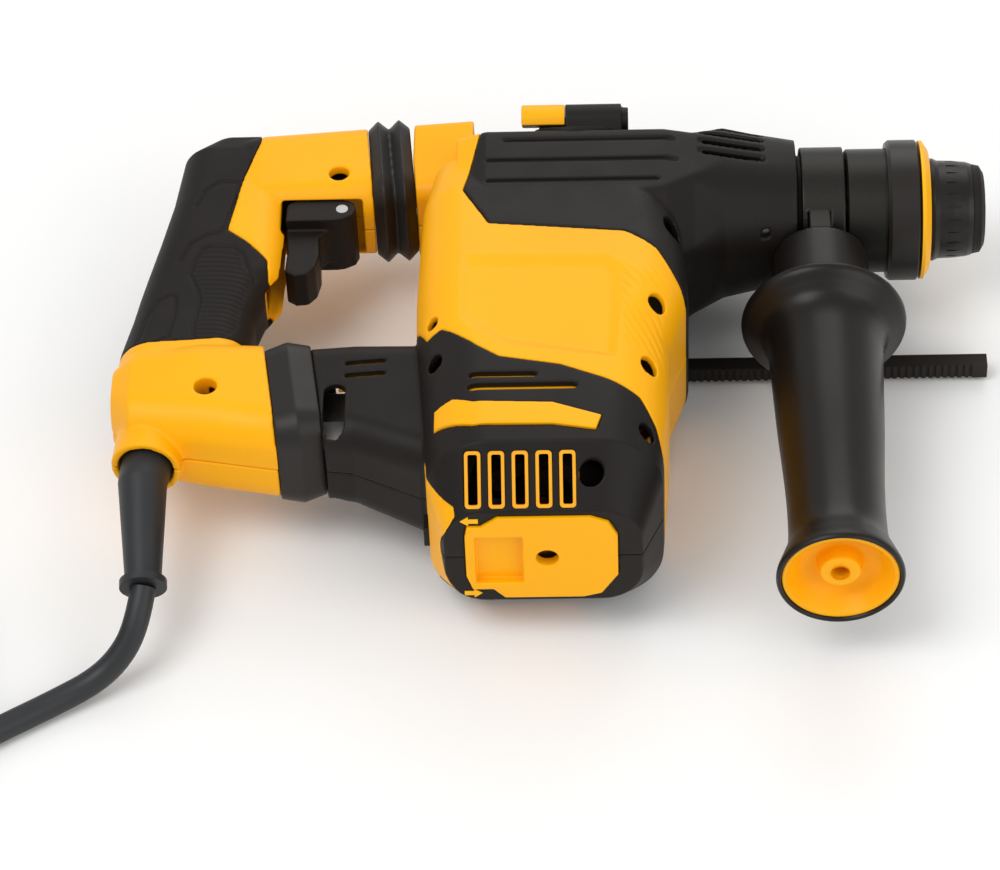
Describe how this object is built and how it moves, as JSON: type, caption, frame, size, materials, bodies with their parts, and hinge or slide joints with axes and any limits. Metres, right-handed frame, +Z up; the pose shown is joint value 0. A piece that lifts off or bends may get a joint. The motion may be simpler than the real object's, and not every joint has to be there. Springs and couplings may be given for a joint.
{
  "type": "demolition hammer",
  "caption": "Corded SDS rotary and demolition hammer with cross motor, damped D handle, side handle and depth rod, lying on its side.",
  "frame": {"origin": "centre of the bottom of the tool's box as it lies on its right side, without the cord", "axes": "+X along the spindle towards the nose, +Y up the tool away from the motor end, +Z up"},
  "size_m": [0.5626, 0.3323, 0.0916],
  "materials": {
    "yellow_abs": "satin",
    "black_nylon": "matte",
    "grip_rubber": "matte",
    "cord_rubber": "matte",
    "steel": "satin",
    "blackened_steel": "satin",
    "aluminium": "satin",
    "copper": "satin",
    "core_steel": "satin",
    "brass": "satin"
  },
  "bodies": {
    "frame": {"gear_housing": "black_nylon", "motor_housing_left": "yellow_abs", "motor_housing_right": "yellow_abs", "motor_cover_left": "black_nylon", "motor_cover_right": "black_nylon", "side_bars": "yellow_abs", "lever_surround": "yellow_abs", "end_plate": "yellow_abs", "vent_liners": "yellow_abs", "upper_bellows": "grip_rubber", "lower_bellows": "grip_rubber", "frame_brackets": "steel", "stator": "core_steel", "gear_plate": "aluminium", "bearings": "steel", "rear_bearing_seat": "aluminium", "arm_spring": "steel"},
    "rear_handle": {"rear_handle_left": "yellow_abs", "rear_handle_right": "yellow_abs", "grip_cover": "grip_rubber", "handle_pins": "steel", "switch_module": "black_nylon", "handle_brackets": "steel", "cord_boot": "cord_rubber", "power_cord": "cord_rubber", "cord_coil": "cord_rubber", "plug_body": "cord_rubber", "plug_pins": "brass"},
    "trigger": {"trigger": "black_nylon"},
    "selector": {"selector_knob": "black_nylon"},
    "selector_button": {"selector_button": "yellow_abs"},
    "armature": {"armature_shaft": "steel", "armature_core": "core_steel", "commutator": "copper", "cooling_fan": "black_nylon"},
    "brush_ring": {"brush_ring": "black_nylon", "reversing_lever": "black_nylon", "carbon_brushes": "core_steel"},
    "crank": {"crank_gear": "steel"},
    "middle_gear": {"middle_gear": "steel"},
    "spindle": {"spindle_gear": "steel", "spindle_cylinder": "steel", "lock_balls": "steel", "chuck_barrel": "blackened_steel", "yellow_band": "yellow_abs", "sleeve_spring": "steel"},
    "quick_ring": {"quick_change_ring": "black_nylon"},
    "front_sleeve": {"front_sleeve": "black_nylon", "nose_cap": "grip_rubber"},
    "piston": {"piston": "aluminium", "wrist_pin": "steel"},
    "con_rod": {"con_rod": "aluminium"},
    "ram": {"ram": "steel"},
    "beat_piece": {"beat_piece": "steel"},
    "side_handle": {"clamp_collar": "blackened_steel", "side_handle_base": "black_nylon", "clamp_stud": "steel"},
    "side_grip": {"side_handle_grip": "grip_rubber", "end_cup": "yellow_abs"},
    "depth_rod": {"depth_rod": "black_nylon"}
  },
  "joints": [
    {"name": "handle_swing", "type": "hinge", "parent": "frame", "child": "rear_handle", "pos_m": [-0.1049, -0.0366, 0.0458], "axis": [0, 0, 1], "range_deg": [-1.6, 0], "stiffness_Nm_per_rad": 60, "deforming": ["upper_bellows", "lower_bellows", "arm_spring"]},
    {"name": "trigger_pull", "type": "hinge", "parent": "rear_handle", "child": "trigger", "pos_m": [-0.0899, 0.0744, 0.0458], "axis": [0, 0, 1], "range_deg": [-8, 0], "stiffness_Nm_per_rad": 1.2, "springref_deg": 2.86},
    {"name": "selector_turn", "type": "hinge", "parent": "frame", "child": "selector", "pos_m": [0.0081, 0.1047, 0.0735], "axis": [0, 0.7242, 0.6896], "range_deg": [-45, 135]},
    {"name": "selector_button_press", "type": "slide", "parent": "selector", "child": "selector_button", "axis": [0, -0.7242, -0.6896], "range_m": [0, 0.0015], "stiffness_N_per_m": 400, "springref_m": -0.001},
    {"name": "armature_spin", "type": "hinge", "parent": "frame", "child": "armature", "pos_m": [-0.0069, -0.0166, 0.0458], "axis": [0, 1, 0], "continuous": true},
    {"name": "reversing_turn", "type": "hinge", "parent": "frame", "child": "brush_ring", "pos_m": [-0.0069, -0.0876, 0.0458], "axis": [0, 1, 0], "range_deg": [-12, 12]},
    {"name": "crank_spin", "type": "hinge", "parent": "frame", "child": "crank", "pos_m": [-0.03065, 0.0534, 0.0458], "axis": [0, 1, 0], "continuous": true},
    {"name": "middle_gear_spin", "type": "hinge", "parent": "frame", "child": "middle_gear", "pos_m": [0.0181, 0.0534, 0.0458], "axis": [0, 1, 0], "continuous": true},
    {"name": "spindle_spin", "type": "hinge", "parent": "frame", "child": "spindle", "pos_m": [0.0911, 0.0834, 0.0458], "axis": [1, 0, 0], "continuous": true},
    {"name": "quick_ring_slide", "type": "slide", "parent": "spindle", "child": "quick_ring", "axis": [-1, 0, 0], "range_m": [0, 0.005], "stiffness_N_per_m": 1500, "springref_m": -0.001},
    {"name": "front_sleeve_slide", "type": "slide", "parent": "spindle", "child": "front_sleeve", "axis": [-1, 0, 0], "range_m": [0, 0.006], "stiffness_N_per_m": 600, "springref_m": -0.004},
    {"name": "piston_slide", "type": "slide", "parent": "frame", "child": "piston", "axis": [1, 0, 0], "range_m": [-0.022, 0]},
    {"name": "con_rod_swing", "type": "hinge", "parent": "piston", "child": "con_rod", "pos_m": [0.02035, 0.0834, 0.0458], "axis": [0, 1, 0], "range_deg": [-16, 16]},
    {"name": "ram_slide", "type": "slide", "parent": "spindle", "child": "ram", "axis": [1, 0, 0], "range_m": [-0.008, 0.004]},
    {"name": "beat_piece_slide", "type": "slide", "parent": "spindle", "child": "beat_piece", "axis": [1, 0, 0], "range_m": [-0.004, 0.002]},
    {"name": "side_handle_swivel", "type": "hinge", "parent": "frame", "child": "side_handle", "pos_m": [0.1093, 0.0834, 0.0458], "axis": [1, 0, 0], "range_deg": [0, 180]},
    {"name": "side_grip_turn", "type": "hinge", "parent": "side_handle", "child": "side_grip", "pos_m": [0.1093, -0.0166, 0.0458], "axis": [0, -1, 0], "continuous": true},
    {"name": "depth_rod_slide", "type": "slide", "parent": "side_handle", "child": "depth_rod", "axis": [1, 0, 0], "range_m": [0, 0.045]}
  ],
  "couplings": [
    {"joint": "crank_spin", "follows": "armature_spin", "ratio": -0.35714},
    {"joint": "middle_gear_spin", "follows": "armature_spin", "ratio": -0.33333},
    {"joint": "spindle_spin", "follows": "armature_spin", "ratio": -0.15385}
  ]
}
